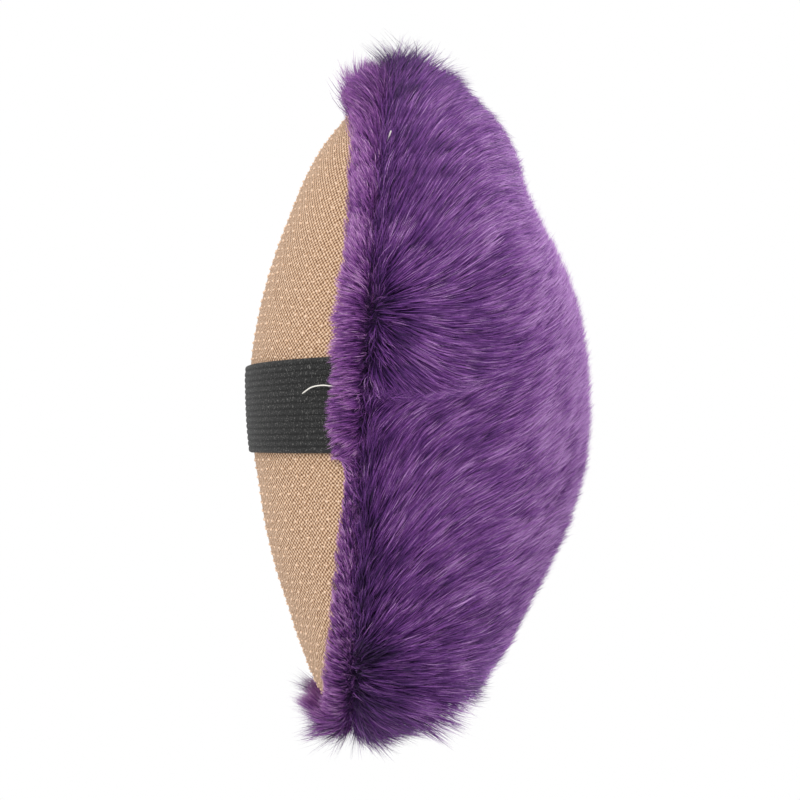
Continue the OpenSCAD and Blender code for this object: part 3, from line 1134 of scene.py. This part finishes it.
def head_shape(place, rng):
    """Length, lift at the root, lift at the tip and tone of hairs on the head."""
    x, _, z = place.T
    n = len(x)
    near_mouth = ramp(x, 0, 9)
    crown = ramp(x, 30, 54)
    top = ramp(z, 172, 186) * ramp(x, 15, 6)
    foot = ramp(z, 26, 12) * ramp(x, 30, 18)
    chin = ramp(z, 9, 3) * ramp(x, 14, 9)
    under = ramp(z, 20, 10) * ramp(x, 6, 12) * ramp(x, 30, 20)
    chin_length = 9.0 * chin * np.clip(x / (10 * MM), 0.1, 1)
    uneven = 1 + (rng.uniform(0.7, 1.15, n) - 1) * (1 + 0.8 * top)
    length = 8.5 + 4.0 * near_mouth - 3.5 * crown + 6.5 * top + 4.0 * foot + 3.0 * under + chin_length
    length = length * MM * uneven
    lift_root = np.radians(50 + 12 * crown + 10 * under - 30 * chin) + rng.normal(0, 0.14, n)
    lift_tip = 6 + 26 * crown + 10 * (1 - near_mouth) + 18 * top + 12 * foot + 34 * under - 20 * chin
    lift_tip = np.radians(lift_tip) + rng.normal(0, 0.14, n)
    # Painted rim light: the tone rises towards the crown and the far side of the head.
    tone = 2.6 + 0.25 * near_mouth + 1.5 * crown + 0.5 * ramp(x, 14, 34)
    # Painted shade: darker within a few millimetres of the mouth line, in the valley between head and lip.
    tone += 0.5 * smooth_noise(place, 0.035, 7) - 0.65 * hump(x, 3, 3)
    tone += 0.3 * ramp(z, 170, 184) * ramp(x, 4, 14) - 0.5 * ramp(z, 168, 180)
    tone -= 0.9 * top + 0.45 * ramp(z, 70, 20) * (1 - crown)
    return length, lift_root, lift_tip, tone


def lip_shape(place, rng):
    """Length, lift at the root, lift at the tip and tone of hairs on the lip strip."""
    x, _, z = place.T
    n = len(x)
    top = ramp(z, 161, 174)
    foot = ramp(z, 7, 1)
    foot_edge = foot * ramp(x, -3, -6)
    notch = hump(z, 70, 10, power=4)
    by_strap = hump(z, 100, 22, power=4)
    length = 4.0 + 1.2 * by_strap + 6.6 * top + 12.5 * foot - 3.0 * foot_edge - 1.8 * notch
    length = rng.uniform(0.75, 1.15, n) * length * MM
    length *= 1 + 0.3 * smooth_noise(place, 0.011, 9)
    lift_root = np.radians(48 - 46 * foot + 34 * foot_edge) + rng.normal(0, 0.15, n)
    lift_tip = np.radians(12 - 26 * foot + 30 * foot_edge) + rng.normal(0, 0.14, n)
    # Painted shade: the lip's hair is darker by the mouth line, in the valley between lip and head.
    tone = 2.3 + 1.4 * ramp(x, 0, -8) + 0.4 * smooth_noise(place, 0.03, 8)
    tone += 0.5 * np.clip(np.abs(z - 82 * MM) / (36 * MM), 0, 1) - 0.8 * top - 0.8 * foot
    return length, lift_root, lift_tip, tone


def faces_away(centre, normal, middle_x):
    """Whether faces look away from a point inside the puppet at depth middle_x."""
    return np.sum(normal * (centre - np.array([middle_x, 0, MIDDLE_Z])), axis=1) > 0


def on_head(centre, normal):
    """The outer face, clear of the finger slot, and the narrow turned rim that meets the jaw."""
    x, y, z = centre.T
    over_slot = (x > sleeve_low.x - MM) & (x < sleeve_high.x + MM) & (np.abs(y) < sleeve_high.y + MM)
    outer = faces_away(centre, normal, -20 * MM) & (x > MOUTH_GAP + 0.15 * MM)
    outer &= ~(over_slot & (z < 40 * MM))
    return outer | ((normal[:, 0] < -0.6) & (x < MOUTH_GAP + 0.25 * MM))


def on_lip(centre, normal):
    """The outer face, clear of the elastic, and the narrow turned rim that meets the head."""
    x, _, z = centre.T
    by_strap = (z > strap_low.z) & (z < strap_high.z) & (x < -9 * MM)
    outer = faces_away(centre, normal, 30 * MM) & (x < -MOUTH_GAP - 0.3 * MM) & ~by_strap
    return outer | ((normal[:, 0] > 0.6) & (x > -MOUTH_GAP - 0.4 * MM))


HEAD_HAIRS, HEAD_PARTS = ((220000, 8))
LIP_HAIRS, LIP_PARTS = ((50000, 2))
HEAD_SEED, LIP_SEED = 21, 22
head_pile = grow_fur(
    "head_fur", head_skin.data, "head", head_tones, HEAD_HAIRS, HEAD_PARTS,
    head_flow, head_shape, on_head, HEAD_SEED,
)
lip_pile = grow_fur(
    "lip_fur", lip_backing.data, "jaw", lip_tones, LIP_HAIRS, LIP_PARTS,
    lip_flow, lip_shape, on_lip, LIP_SEED,
)
cloth_area(head_skin.data)
lip_y, lip_z = outline(skin_angles)
lip_run = np.hypot(np.diff(lip_y, append=lip_y[0]), np.diff(lip_z, append=lip_z[0])).sum()
SEAM_ALLOWANCE = 1.5 * MM
lip_cut = (cloth_area(lip_backing.data) / lip_run + SEAM_ALLOWANCE, lip_run)
